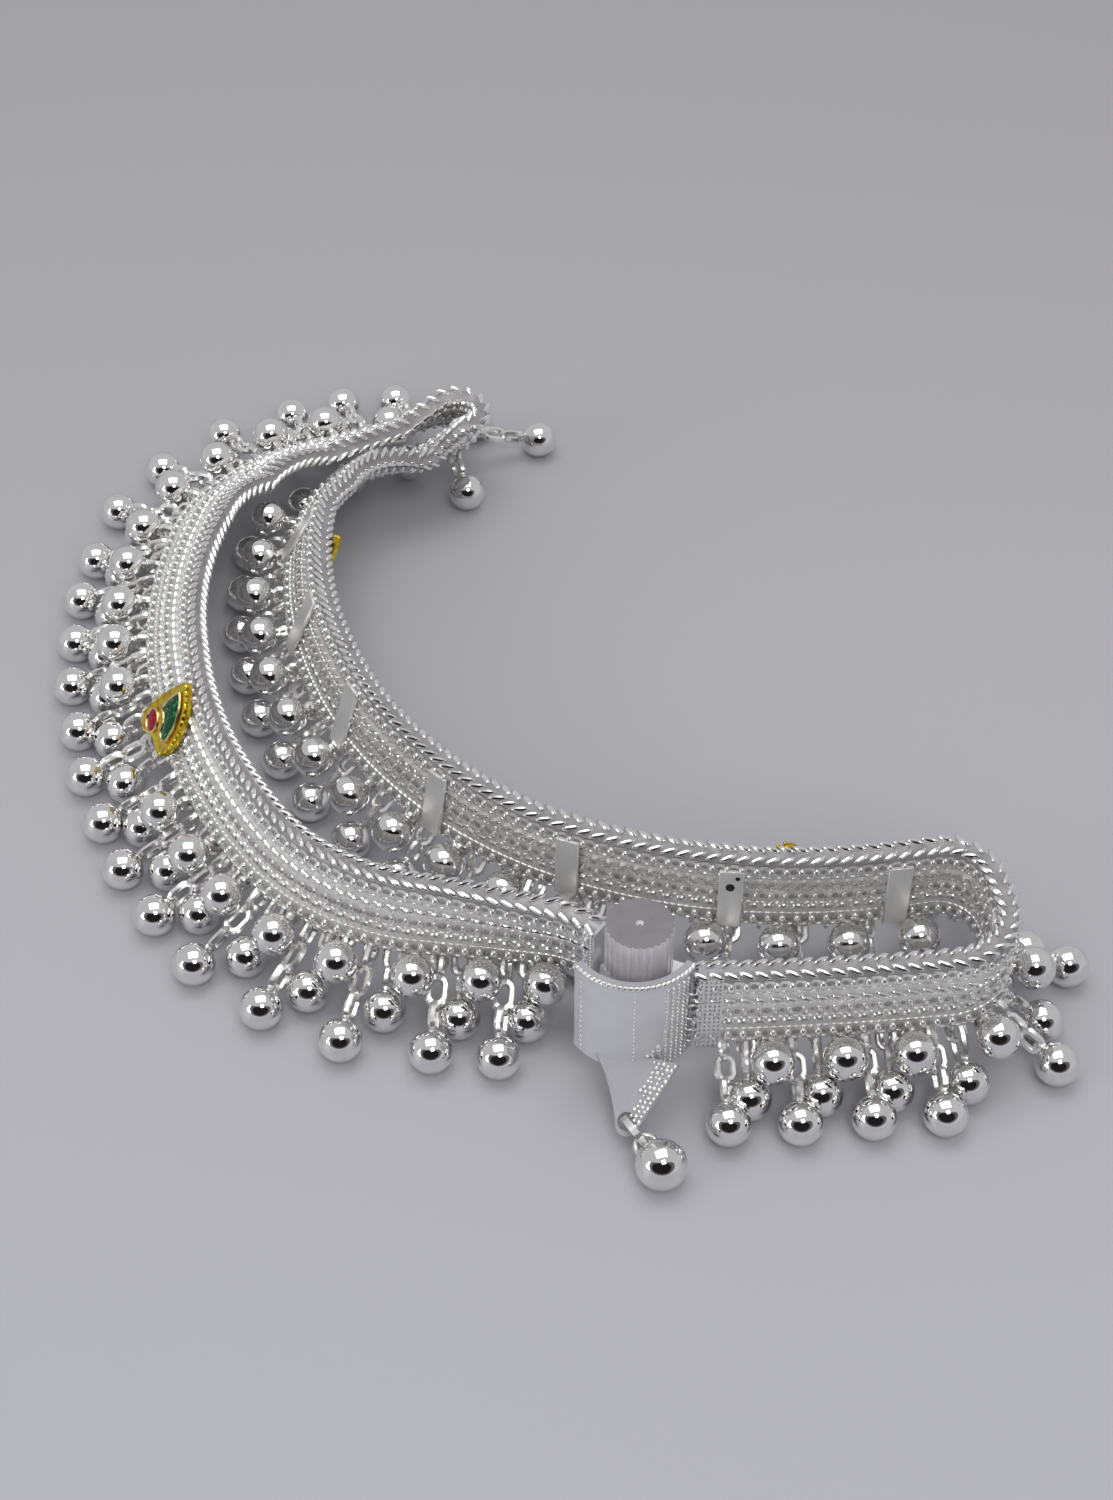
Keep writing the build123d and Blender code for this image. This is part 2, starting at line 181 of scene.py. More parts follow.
# The same wire knitted tight and pickled white: an even pale ground with a fine grain.
silver_knit = metal("silver knit pickled", "E6E5E3", "DAD9D7", 0.34, 0.44, 2.5, grain=0.5,
                    metallic=0.5)


def lay_tree():
    """The node tree that sets one link on each place of a bare mesh of points."""
    tree = bpy.data.node_groups.new("Lay links", "GeometryNodeTree")
    for name, way, kind in (("Places", "INPUT", "Geometry"), ("Link", "INPUT", "Object"),
                            ("Size spread", "INPUT", "Float"), ("Finish", "INPUT", "Material"),
                            ("Links", "OUTPUT", "Geometry")):
        tree.interface.new_socket(name, in_out=way, socket_type="NodeSocket" + kind)
    given = add_node(tree, "NodeGroupInput")
    onward, upward, stretch = (
        add_node(tree, "GeometryNodeInputNamedAttribute", {"Name": name},
                 data_type="FLOAT_VECTOR").outputs["Attribute"]
        for name in ("onward", "upward", "stretch"))
    turn = add_node(tree, "FunctionNodeAxesToRotation", None,
                    {"Primary Axis": onward, "Secondary Axis": upward},
                    primary_axis="X", secondary_axis="Z")
    least, most = (add_node(tree, "ShaderNodeMath", {0: 1.0}, {1: given.outputs["Size spread"]},
                            operation=way).outputs[0] for way in ("SUBTRACT", "ADD"))
    chance = add_node(tree, "FunctionNodeRandomValue", {"Seed": 11}, {"Min": least, "Max": most},
                      data_type="FLOAT")
    size = next(socket for socket in chance.outputs if socket.enabled)
    scale = add_node(tree, "ShaderNodeVectorMath", None, {0: stretch, "Scale": size},
                     operation="SCALE")
    link = add_node(tree, "GeometryNodeObjectInfo", None, {"Object": given.outputs["Link"]})
    laid = add_node(tree, "GeometryNodeInstanceOnPoints", None,
                    {"Points": given.outputs["Places"], "Instance": link.outputs["Geometry"],
                     "Rotation": turn.outputs[0], "Scale": scale.outputs[0]})
    real = add_node(tree, "GeometryNodeRealizeInstances", None,
                    {"Geometry": laid.outputs["Instances"]})
    done = add_node(tree, "GeometryNodeSetMaterial", None,
                    {"Geometry": real.outputs["Geometry"], "Material": given.outputs["Finish"]})
    add_node(tree, "NodeGroupOutput", None, {"Links": done.outputs["Geometry"]})
    return tree


LAY_LINKS = lay_tree()


def new_piece(name, mesh):
    """An object at the origin that shows the mesh."""
    piece = bpy.data.objects.new(name, mesh)
    bpy.context.scene.collection.objects.link(piece)
    return piece


def lay(name, places, link, finish, spread=0.0):
    """Links set on places, as one plain mesh.
    A place is (where in mm, onward, upward, stretch)."""
    points = bpy.data.meshes.new(name + " places")
    points.from_pydata([place[0] * MM for place in places], [], [])
    for key, attribute in ((1, "onward"), (2, "upward"), (3, "stretch")):
        layer = points.attributes.new(attribute, "FLOAT_VECTOR", "POINT")
        layer.data.foreach_set("vector", [v for place in places for v in place[key]])
    bare = new_piece(name + " places", points)
    modifier = bare.modifiers.new("Lay links", "NODES")
    modifier.node_group = LAY_LINKS
    given = {"Link": link, "Size spread": spread, "Finish": finish}
    for socket in LAY_LINKS.interface.items_tree:
        if socket.name in given:
            modifier[socket.identifier] = given[socket.name]
    bpy.context.view_layer.update()
    graph = bpy.context.evaluated_depsgraph_get()
    mesh = bpy.data.meshes.new_from_object(bare.evaluated_get(graph))
    for left_over in ("onward", "upward", "stretch"):
        if left_over in mesh.attributes:
            mesh.attributes.remove(mesh.attributes[left_over])
    bpy.data.objects.remove(bare)
    return new_piece(name, mesh)


CORNER = radians(42)      # edges sharper than this are shaded as corners


def from_bm(name, bm, finish=None):
    """A new piece from a drawn mesh, its faces turned outwards and smooth but for corners."""
    bmesh.ops.recalc_face_normals(bm, faces=bm.faces)
    for face in bm.faces:
        face.smooth = True
    for edge in bm.edges:
        edge.smooth = not (edge.is_manifold and edge.calc_face_angle() > CORNER)
    mesh = bpy.data.meshes.new(name)
    bm.to_mesh(mesh)
    bm.free()
    if finish:
        mesh.materials.append(finish)
    return new_piece(name, mesh)


patterns = []


def shape(name, build):
    """A small mesh drawn by build(bm) in millimetres, to be laid many times."""
    bm = bmesh.new()
    build(bm)
    bmesh.ops.scale(bm, vec=(MM, MM, MM), verts=bm.verts)
    pattern = from_bm(name, bm)
    pattern.hide_render = True
    patterns.append(pattern)
    return pattern


def drop(length, width, depth, around, rings):
    """A smooth drop: X along it, Y across, Z out of the surface it lies on."""
    def build(bm):
        bmesh.ops.create_uvsphere(bm, u_segments=around, v_segments=rings, radius=0.5)
        bmesh.ops.rotate(bm, matrix=Matrix.Rotation(pi / 2, 3, "Y"), verts=bm.verts)
        bmesh.ops.scale(bm, vec=(length, width, depth), verts=bm.verts)
    return build


def skin(bm, rings, endless=False):
    """Faces from ring to ring: a bar closed at both ends, or one that runs into itself."""
    before = rings[-1:] + rings[:-1] if endless else rings[:-1]
    after = rings if endless else rings[1:]
    for ring, following in zip(before, after):
        for k in range(len(ring)):
            bm.faces.new((ring[k - 1], ring[k], following[k], following[k - 1]))
    if not endless:
        bm.faces.new(rings[0])
        bm.faces.new(rings[-1])


def sweep(name, section, first, last, step, finish):
    """A bar along the strip.  The section is a ring of (out, rise) in millimetres."""
    bm = bmesh.new()
    count = max(2, round((last - first) / step))
    rings = []
    for i in range(count + 1):
        foot, outward, up, onward = strip_at(first + (last - first) * i / count)
        rings.append([bm.verts.new((foot + outward * out + up * rise) * MM)
                      for out, rise in section])
    skin(bm, rings)
    return from_bm(name, bm, finish)


def along_strip(pitch, first, last):
    """Places along the strip about a pitch apart, from the first to the last."""
    count = round((last - first) / pitch)
    return [first + (last - first) * i / count for i in range(count + 1)]


# The stitches run on over both end caps, up to the clasp.
STITCHES = along_strip(BRAID_PITCH, 0.8, ROUTE_LENGTH + 0.6)

# The high points are worn bright: small sharp glints along each strand.
silver_bright = metal("silver wire worn bright", "FBFAF9", "F1F0EE", 0.13, 0.22, 1.5)
# A grey painted shade for the hollows between the wires: the braid's core and the holes of the
# knitting.
silver_hollow = metal("silver wire unpolished", "A3A1A2", "8F8D8E", 0.40, 0.55, 1.5,
                      metallic=0.4)
PLAIN = (1, 1, 1)
BRAID_RISE = 8.84
ARM_OUT = 0.68            # the middle of a strand from the middle of the braid
ARM_SLANT = 33            # of a strand, across the braid
ARM_FACING = 0.80         # how far it faces aside, against up
ARM_DIP = 0.10            # its tail dips under the strand behind
braid_places = []
for side in (1, -1):
    for along in STITCHES:
        foot, outward, up, onward = strip_at(along)
        facing = (up + outward * side * ARM_FACING).normalized()
        lie = onward * cos(radians(ARM_SLANT)) - outward * side * sin(radians(ARM_SLANT))
        lie = (lie + facing * ARM_DIP).normalized()
        spot = foot + up * BRAID_RISE + outward * side * ARM_OUT
        braid_places.append((spot, lie, facing, PLAIN))

braid_drop = shape("braid drop", drop(1.70, 0.52, 0.56, around=8, rings=6))
top_braid = lay("top_braid", braid_places, braid_drop, silver_bright, spread=0.04)
# The braid's core is grey painted shade, so the gaps between its strands read dark.
braid_core_section = [(-0.78, 8.1), (0.78, 8.1), (0.88, 8.4), (0.62, 8.84), (0.0, 8.78),
                      (-0.62, 8.84), (-0.88, 8.4)]
CORE_STEP = 1.2
braid_core = sweep("braid_core", braid_core_section, 0.3, ROUTE_LENGTH - 0.3, CORE_STEP,
                   silver_hollow)
lengths = [f"{i:02d}" for i in range(1, 14)]
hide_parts(*[f"top_braid_{i}" for i in lengths])
for piece in (top_braid, braid_core):
    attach(piece, "anklet")

# ------------------------------------------------------------------ the knitted rows
# Under the braid the strip is knitted flat of fine silver wire.  Down both faces run round
# knots, a thin twisted rope, long knots, little arches and round knots again, all standing
# out from the knitting; the holes between the stitches are dark drops of painted shade.

KNOT_OUT = 0.80           # the knitting's face from the strip's middle
ROUND_KNOTS = [
    # rise   proud
    (7.55,   0.10),
    (1.65,   0.06),
]
PROUD = 0.06              # how far the rope and the long knots stand out
ROPE_RISE, ROPE_LEAN = 6.10, 0.30
LONG_KNOT_RISE, LONG_KNOT_LEAN = 4.55, 0.35
ARCH_RISE = 3.05
ARCH_HOLE_RISE, ARCH_HOLE = 3.15, (0.9, 0.6, 1)
BRAID_HOLE_RISE, BRAID_HOLE_LEAN, BRAID_HOLE = 8.12, 0.25, (1.6, 0.42, 1)
HALF_WAY_HOLES = (7.60, 4.55, 1.65)
HOLE_PROUD = 0.02
KNIT_LEGS = [
    # rise   lean
    (6.85,   0.12),
    (5.45,  -0.3),
    (3.75,   0.3),
    (2.42,  -0.12),
    (1.02,   0.2),
]


def ring(length, width, wire, around, across, half=False):
    """A ring of wire lying flat, X along it and Y across it, or the half that Y points to."""
    def build(bm):
        straight, radius = (length - width) / 2, (width - wire) / 2
        hoops = []
        for i in range(around + half):
            angle = (1 if half else 2) * pi * i / around
            middle = Vector((cos(angle), sin(angle), 0)) * radius
            middle.x += straight if cos(angle) > 0 else -straight
            hoop = []
            for k in range(across):
                turn = 2 * pi * k / across
                off = Vector((cos(angle) * cos(turn), sin(angle) * cos(turn), sin(turn)))
                hoop.append(bm.verts.new(middle + off * wire / 2))
            hoops.append(hoop)
        skin(bm, hoops, endless=not half)
    return build


knot = shape("knot", drop(0.74, 0.96, 0.86, around=8, rings=7))
long_knot = shape("long knot", drop(1.16, 0.60, 0.80, around=8, rings=6))
rope_turn = shape("rope turn", drop(1.42, 0.44, 0.66, around=7, rings=6))
knit_leg = shape("knit leg", drop(0.80, 0.26, 0.30, around=6, rings=4))
arch = shape("arch", ring(1.26, 1.26, 0.36, around=7, across=5, half=True))
# A flat drop, laid dark as painted shade in a hole.
hole = shape("hole", drop(0.50, 0.58, 0.20, around=6, rings=4))

for side, side_name in ((1, "outer"), (-1, "inner")):
    knots, long_knots, ropes, legs_of_knit, arches, holes = [], [], [], [], [], []
    for along in STITCHES:
        foot, outward, up, onward = strip_at(along)
        face = outward * side
        wall = foot + face * KNOT_OUT
        for rise, proud in ROUND_KNOTS:
            knots.append((wall + up * rise + face * proud, onward, face, PLAIN))
        lie = (up + onward * LONG_KNOT_LEAN).normalized()
        long_knots.append((wall + up * LONG_KNOT_RISE + face * PROUD, lie, face, PLAIN))
        lie = (onward + up * ROPE_LEAN).normalized()
        ropes.append((wall + up * ROPE_RISE + face * PROUD, lie, face, PLAIN))
        side_on = onward if side < 0 else -onward
        arches.append((wall + up * ARCH_RISE, side_on, face, PLAIN))
        # Painted shade: dark drops in the holes by the arches, the braid and the knots.
        holes.append((wall + up * ARCH_HOLE_RISE, onward, face, ARCH_HOLE))
        lie = (onward + up * BRAID_HOLE_LEAN).normalized()
        holes.append((wall + up * BRAID_HOLE_RISE, lie, face, BRAID_HOLE))
        half_way, outward, up, onward = strip_at(along + BRAID_PITCH / 2)
        face = outward * side
        for rise in HALF_WAY_HOLES:
            spot = half_way + up * rise + face * (KNOT_OUT + HOLE_PROUD)
            holes.append((spot, onward, face, PLAIN))
        for rise, lean in KNIT_LEGS:
            for middle in (foot, half_way):
                lie = (onward + up * lean).normalized()
                spot = middle + up * rise + face * KNOT_OUT
                legs_of_knit.append((spot, lie, face, PLAIN))
    pieces = [lay(f"knots_{side_name}", knots, knot, silver_wire, spread=0.06),
              lay(f"long_knots_{side_name}", long_knots, long_knot, silver_wire, spread=0.06),
              lay(f"rope_row_{side_name}", ropes, rope_turn, silver_bright, spread=0.05),
              lay(f"arch_row_{side_name}", arches, arch, silver_wire, spread=0.05),
              lay(f"knitting_{side_name}", legs_of_knit, knit_leg, silver_wire, spread=0.08),
              lay(f"knit_holes_{side_name}", holes, hole, silver_hollow, spread=0.20)]
    for piece in pieces:
        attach(piece, "anklet")

core_section = [(-0.60, 0.75), (0.60, 0.75), (KNOT_OUT, 1.0), (KNOT_OUT, 8.2),
                (-KNOT_OUT, 8.2), (-KNOT_OUT, 1.0)]
strip_core = sweep("strip_core", core_section, 0.2, ROUTE_LENGTH - 0.2, CORE_STEP, silver_knit)
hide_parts(*[f"chain_rows_{i}" for i in lengths])
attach(strip_core, "anklet")

# ------------------------------------------------------------------ the stay plates
# Flat strips of silver sheet are soldered up the inner face to keep the rows level.  They
# are filed smooth and catch the light as plain bright bars.

STAY_SPACING = 14.6
STAY_FIRST = 15.4
STAY_SIZE = (2.2, 6.9, 0.4)      # along the strip, up it and out of it
STAY_RISE, STAY_OUT = 4.3, 1.13
# Rolled sheet, filed and pickled: a smooth pale grey with a broad soft sheen.
silver_sheet = metal("silver sheet rolled", "F0EFED", "E0DFDD", 0.30, 0.40, 4.0, metallic=0.6)


def stay_build(bm):
    bmesh.ops.create_cube(bm, size=1)
    bmesh.ops.scale(bm, vec=STAY_SIZE, verts=bm.verts)
    bmesh.ops.bevel(bm, geom=bm.edges[:], offset=0.08, segments=1, affect="EDGES")


stay = shape("stay", stay_build)
stay_places = []
along = STAY_FIRST
while along < ROUTE_LENGTH - 1:
    foot, outward, up, onward = strip_at(along)
    stay_places.append((foot + up * STAY_RISE - outward * STAY_OUT, onward, -outward, PLAIN))
    along += STAY_SPACING
stay_plates = lay("stay_plates", stay_places, stay, silver_sheet)

# One stay by the clasp is punched through twice for its rivets.
RIVET_HOLES = [
    # along    rise   size
    (234.35,   5.85,  1.7),
    (234.95,   7.0,   0.9),
]
# A hole is shown by a near-black disc of painted shadow on the stay.
punched_dark = metal("silver tarnished in a hole", "2E2B2D", "1D1B1D", 0.5, 0.7, 1.0,
                     metallic=0.3)
rivet_places = []
for along, rise, size in RIVET_HOLES:
    foot, outward, up, onward = strip_at(along)
    spot = foot + up * rise - outward * (STAY_OUT + STAY_SIZE[2] / 2)
    rivet_places.append((spot, onward, -outward, (size, size, 0.5)))
rivet_holes = lay("rivet_holes", rivet_places, hole, punched_dark)
for piece in (stay_plates, rivet_holes):
    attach(piece, "anklet")

# ------------------------------------------------------------------ the bells
# Round bells, pressed from thin silver in two halves, soldered round the middle and
# polished like mirrors.  They lie on the table in a crowd and carry the strip.

BELL_DIAMETER = 3.9
NEAREST_BELL = 3.15       # how far out of the foot the nearest bells lie
FRINGE_PATTERN = 12.0     # the row of bells repeats at this length
FRINGE_FIRST = 2.6
FRINGE_START = 4.0        # no bell this near the clasp
FRINGE_END = 1.4          # nor over the last end cap
FOLD_BELL_REACH = 2.8     # of the bells between the two walls of the back fold
LINK_RISE = 0.45
NEAR_SHARE, FAR_SHARE = 0.1, 0.5
FRINGE = [
    # along, share of the way from the nearest bells to the spread, height of the centre
    (0.0,     1.00,  1.95),
    (2.0,     0.00,  5.20),
    (4.0,     0.28,  1.95),
    (6.1,     1.04,  1.95),
    (8.1,     0.02,  5.30),
    (10.0,    0.30,  1.95),
]
MOTIF_PLACES = (55, 166, 240)
MOTIF_CLEAR = 6.0         # no high bell this near a motif's middle
leg_ends = [leg[0] + leg[1] for leg in LEGS]
fold_from, inner_from, fold_to, inner_to = leg_ends[7], leg_ends[9], leg_ends[11], leg_ends[16]


def hang_bells():
    """Every bell as (place along the strip, reach out of the loop, height)."""
    bells = []
    for repeat in range(int(ROUTE_LENGTH / FRINGE_PATTERN) + 1):
        for offset, share, height in FRINGE:
            along = FRINGE_FIRST + repeat * FRINGE_PATTERN + offset
            if not FRINGE_START < along < ROUTE_LENGTH - FRINGE_END:
                continue
            start, length, turn, foot, heading, lean, next_lean = leg_at(along)
            spread = lean.z + (next_lean.z - lean.z) * (along - start) / length
            beside_motif = any(abs(along - place) < MOTIF_CLEAR for place in MOTIF_PLACES)
            reach = NEAREST_BELL + share * (spread - NEAREST_BELL)
            if fold_from < along < inner_from and share < NEAR_SHARE:
                continue
            if inner_from < along < fold_to:
                if share < NEAR_SHARE:
                    bells.append((along, -FOLD_BELL_REACH, BELL_DIAMETER / 2))
            elif fold_to < along < inner_to:
                if share < FAR_SHARE:
                    bells.append((along, -reach, height))
            elif share > NEAR_SHARE or not beside_motif:
                bells.append((along, reach, height))
    return bells


bells = []
for along, reach, height in hang_bells():
    foot, outward, up, onward = strip_at(along)
    level = Vector((outward.x, outward.y, 0)).normalized()
    centre = Vector((foot.x, foot.y, height)) + level * reach
    bells.append((foot + up * LINK_RISE, centre, onward))


def bell_build(bm):
    bmesh.ops.create_uvsphere(bm, u_segments=26, v_segments=17, radius=BELL_DIAMETER / 2)


# Burnished thin silver: a near mirror that shows the room round it.
silver_mirror = metal("silver bell polished", "F7F6F5", "EDECEA", 0.045, 0.09, 1.2)
bell_ball = shape("bell ball", bell_build)
bell_places = []
for hook, centre, onward in bells:
    toward = (hook - centre).normalized()
    side = toward.cross(onward).normalized()
    bell_places.append((centre, side, toward, PLAIN))
bell_balls = lay("bells", bell_places, bell_ball, silver_mirror)
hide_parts(*[f"bell_fringe_{i}" for i in lengths])
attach(bell_balls, "anklet")

# ------------------------------------------------------------------ links of the bells
# Along the strip's foot runs a row of rings.  Each bell hangs from it on a jump ring and
# one to three long loops of round wire, bent by hand, with a collar on top of the bell.

LINK_WIRE = 0.68
LOOP_LENGTH = 2.9
LOOP_STEP = 2.2           # one loop for about this much of the way down
LOOP_OVERLAP = 0.75       # each loop passes this far through the next
LOOP_TILT = 25
COLLAR_CLEAR = 0.05       # the last loop stands this far off the bell
JUMP_DROP = 0.75          # a jump ring's middle under the foot row
JUMP_TURN = 60
FOOT_RING_PITCH, FOOT_RING_RISE = 2.0, 0.35

long_loop = shape("bell loop", ring(LOOP_LENGTH, 2.1, LINK_WIRE, around=14, across=6))
collar = shape("bell collar", ring(1.4, 1.4, 0.46, around=12, across=6))
foot_ring = shape("foot ring", ring(1.5, 1.5, 0.42, around=12, across=5))
jump_ring = shape("jump ring", ring(2.3, 2.1, 0.5, around=14, across=6))
random.seed(7)
loops, collars, foot_rings, jump_rings = [], [], [], []
for hook, centre, onward in bells:
    toward = (hook - centre).normalized()
    top = centre + toward * (BELL_DIAMETER / 2 + COLLAR_CLEAR)
    side = toward.cross(onward).normalized()
    other = toward.cross(side)
    collars.append((centre + toward * BELL_DIAMETER / 2, toward, onward, PLAIN))
    angle = random.uniform(-JUMP_TURN, JUMP_TURN)
    turned = Matrix.Rotation(radians(angle), 3, toward) @ onward
    jump_rings.append((hook - toward * JUMP_DROP, toward, turned, PLAIN))
    span = (hook - top).length
    count = max(1, round(span / LOOP_STEP))
    for i in range(count):
        middle = top + (hook - top) * (i + 0.5) / count
        facing = side if i % 2 else other
        tilt = Matrix.Rotation(radians(random.uniform(-LOOP_TILT, LOOP_TILT)), 3, toward)
        length = span / count + LOOP_OVERLAP
        loops.append((middle, toward, tilt @ facing, (length / LOOP_LENGTH, 1, 1)))
for along in along_strip(FOOT_RING_PITCH, 1.2, ROUTE_LENGTH - 1.2):
    foot, outward, up, onward = strip_at(along)
    foot_rings.append((foot + up * FOOT_RING_RISE, up, onward, PLAIN))
for name, places, pattern in (("bell_loops", loops, long_loop),
                              ("bell_collars", collars, collar),
                              ("foot_rings", foot_rings, foot_ring),
                              ("jump_rings", jump_rings, jump_ring)):
    piece = lay(name, places, pattern, silver_wire, spread=0.04)
    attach(piece, "anklet")

# ------------------------------------------------------------------ the clasp
# Cut from silver sheet and tube: two knuckles, end caps on the strip, a curved cover
# plate with a pierced tail, and a screw with a fluted head turned from solid rod.

# Sheet rubbed to a satin: an even cool grey without sharp glints.
silver_satin = metal("silver sheet satin", "E0E0E4", "D8D8DC", 0.36, 0.44, 3.0, metallic=0.6)
# Turned rod, a little whiter, with its marks along the flutes.
silver_turned = metal("silver rod turned", "EEECEF", "E0DEE1", 0.32, 0.42, 1.5, metallic=0.5)


def duller_facing_up(material, plain, dull, start, end):
    """Paints shade on a face that looks up: from start to end of its normal's upright part."""
    tree = material.node_tree
    lie_of_face = add_node(tree, "ShaderNodeNewGeometry")
    upness = add_node(tree, "ShaderNodeSeparateXYZ", links={0: lie_of_face.outputs["Normal"]})
    dulling = add_node(tree, "ShaderNodeValToRGB", links={"Fac": upness.outputs["Z"]})
    dulling.color_ramp.elements[0].color = linear(plain)
    dulling.color_ramp.elements[0].position = start
    dulling.color_ramp.elements[1].color = linear(dull)
    dulling.color_ramp.elements[1].position = end
    shader = tree.nodes["Principled BSDF"]
    was = shader.inputs["Base Color"].links[0].from_socket
    both = add_node(tree, "ShaderNodeMix", {"Factor": 1.0}, data_type="RGBA",
                    blend_type="MULTIPLY")
    tree.links.new(was, both.inputs[6])
    tree.links.new(dulling.outputs["Color"], both.inputs[7])
    tree.links.new(both.outputs[2], shader.inputs["Base Color"])


# The screw's face is turned matt, and what faces up is also given painted shade,
# darker than the fluted side.
duller_facing_up(silver_turned, "F2F0F2", "969397", 0.85, 0.95)
# Painted shade where the sheet faces up: the sloping tail is darker than the upright plate.
duller_facing_up(silver_satin, "FFFFFF", "C8C8CA", 0.3, 0.8)

finishes = {
    "left_knuckle": silver_sheet, "right_knuckle": silver_sheet,
    "clasp_screw": silver_turned,
    "tail_link": silver_wire, "tail_bell": silver_mirror,
}
for node_name, finish in finishes.items():
    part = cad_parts[node_name]
    part.data.materials.clear()
    part.data.materials.append(finish)

# An end cap is a short sleeve of sheet, ribbed by columns of small grains.
CAP_LENGTH, CAP_OUT = 1.35, 0.98
CAP_COLUMNS = (0.28, 0.66, 1.05, 1.45, 1.85)
CAP_ROWS, CAP_FIRST_ROW, CAP_ROW_PITCH = 17, 0.6, 0.49
CAP_GRAIN = (0.75, 0.75, 0.75)
cap_section = [(-0.88, 0.1), (0.88, 0.1), (0.98, 0.3), (0.98, 8.5), (0.75, 8.8),
               (-0.75, 8.8), (-0.98, 8.5), (-0.98, 0.3)]
grain_places = []
for cap_name, first, last in (("left_end_cap", 0.02, CAP_LENGTH),
                              ("right_end_cap", ROUTE_LENGTH - CAP_LENGTH, ROUTE_LENGTH + 0.7)):
    cap = sweep(cap_name + "_shell", cap_section, first, last, 0.6, silver_satin)
    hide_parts(cap_name)
    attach(cap, "anklet")
    for column in CAP_COLUMNS:
        if first + column > last:
            continue
        foot, outward, up, onward = strip_at(first + column)
        for side in (1, -1):
            for i in range(CAP_ROWS):
                rise = CAP_FIRST_ROW + i * CAP_ROW_PITCH
                spot = foot + up * rise + outward * side * CAP_OUT
                grain_places.append((spot, onward, outward * side, CAP_GRAIN))


def arc_points(arc, count):
    """Points from the arc's start up to, but not at, its end: a circle through three points,
    so a straight edge is given a hair of bulge."""
    (ax, ay), (bx, by), (cx, cy) = arc
    twice = 2 * (ax * (by - cy) + bx * (cy - ay) + cx * (ay - by))
    a2, b2, c2 = ax * ax + ay * ay, bx * bx + by * by, cx * cx + cy * cy
    middle = Vector(((a2 * (by - cy) + b2 * (cy - ay) + c2 * (ay - by)) / twice,
                     (a2 * (cx - bx) + b2 * (ax - cx) + c2 * (bx - ax)) / twice))
    angles = [atan2(y - middle.y, x - middle.x) for x, y in arc]
    onward = (angles[1] - angles[0]) % (2 * pi) < (angles[2] - angles[0]) % (2 * pi)
    sweep_angle = (angles[2] - angles[0]) % (2 * pi)
    if not onward:
        sweep_angle -= 2 * pi
    radius = (Vector(arc[0]) - middle).length
    return [middle + radius * Vector((cos(angles[0] + sweep_angle * i / count),
                                      sin(angles[0] + sweep_angle * i / count)))
            for i in range(count)]


# The cover plate is a curved sheet in front of the knuckles, its angles measured round it.
PLATE_CENTRE = (8.44, -39.46)
PLATE_RADIUS = 5.9
PLATE_BOTTOM, PLATE_TOP = 3.7, 14.1
PLATE_THICK, PLATE_BEVEL = 0.8, 0.15
PLATE_LEFT, PLATE_RIGHT = 212, 329


def on_plate(angle, height, off=0.0):
    """A point on the cover plate's outer face, its outward and its sideways direction."""
    outward = level_unit(angle)
    return (Vector((*PLATE_CENTRE, height)) + outward * (PLATE_RADIUS + off), outward,
            Vector((-outward.y, outward.x, 0)))


plate_section = [
    # off            height
    (0.0,            PLATE_BOTTOM + PLATE_BEVEL),
    (0.0,            PLATE_TOP - PLATE_BEVEL),
    (-PLATE_BEVEL,   PLATE_TOP),
    (-PLATE_THICK,   PLATE_TOP),
    (-PLATE_THICK,   PLATE_BOTTOM),
    (-PLATE_BEVEL,   PLATE_BOTTOM),
]
bm = bmesh.new()
skin(bm, [[bm.verts.new(on_plate(angle, height, off)[0] * MM) for off, height in plate_section]
          for angle in range(PLATE_LEFT, PLATE_RIGHT + 1)])

# The tail is one with the plate: a tongue round the eye of the last link.
TAIL_TOP = Vector((9.54, -44.96, PLATE_BOTTOM + 1.2))
TAIL_DOWN = Vector((-1.6, -5.2, -3.2)).normalized()
TAIL_ACROSS = Vector((1, -0.31, 0)).normalized()
TAIL_HALF_THICK = 0.4
TAIL_EYE = Vector((-0.2, -5.7))
TAIL_EYE_RADIUS = 0.8
TAIL_LENGTH, TAIL_RIGHT, TAIL_TIP_RIGHT = 6.1, 2.9, 0.8
TAIL_OUTLINE = [
    # each arc's start, middle and end, x to the right and y up the tail
    ((-4.8, 0.0), (-0.9, 0.001), (TAIL_RIGHT, 0.0)),
    ((TAIL_RIGHT, 0.0), (1.85, -3.051), (TAIL_TIP_RIGHT, -TAIL_LENGTH)),
    ((TAIL_TIP_RIGHT, -TAIL_LENGTH), (-0.15, -6.95), (-1.1, -TAIL_LENGTH)),
    ((-1.1, -TAIL_LENGTH), (-2.3, -3.4), (-4.8, 0.0)),
]
tail_normal = TAIL_ACROSS.cross(-TAIL_DOWN).normalized()
tail_along = tail_normal.cross(TAIL_ACROSS)


def on_tail(x, y, height):
    """A point of the tail, at a height over its middle."""
    return TAIL_TOP + TAIL_ACROSS * x + tail_along * y + tail_normal * height


tail_edge = [point for arc in TAIL_OUTLINE for point in arc_points(arc, 14)]
eye_edge = [TAIL_EYE + (point - TAIL_EYE).normalized() * TAIL_EYE_RADIUS for point in tail_edge]
skin(bm, [[bm.verts.new(on_tail(point.x, point.y, height) * MM) for point in edge]
          for edge, height in ((tail_edge, TAIL_HALF_THICK), (tail_edge, -TAIL_HALF_THICK),
                               (eye_edge, -TAIL_HALF_THICK), (eye_edge, TAIL_HALF_THICK))],
     endless=True)
plate = from_bm("cover_plate", bm, silver_satin)
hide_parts("clasp_cover_plate")
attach(plate, "anklet")

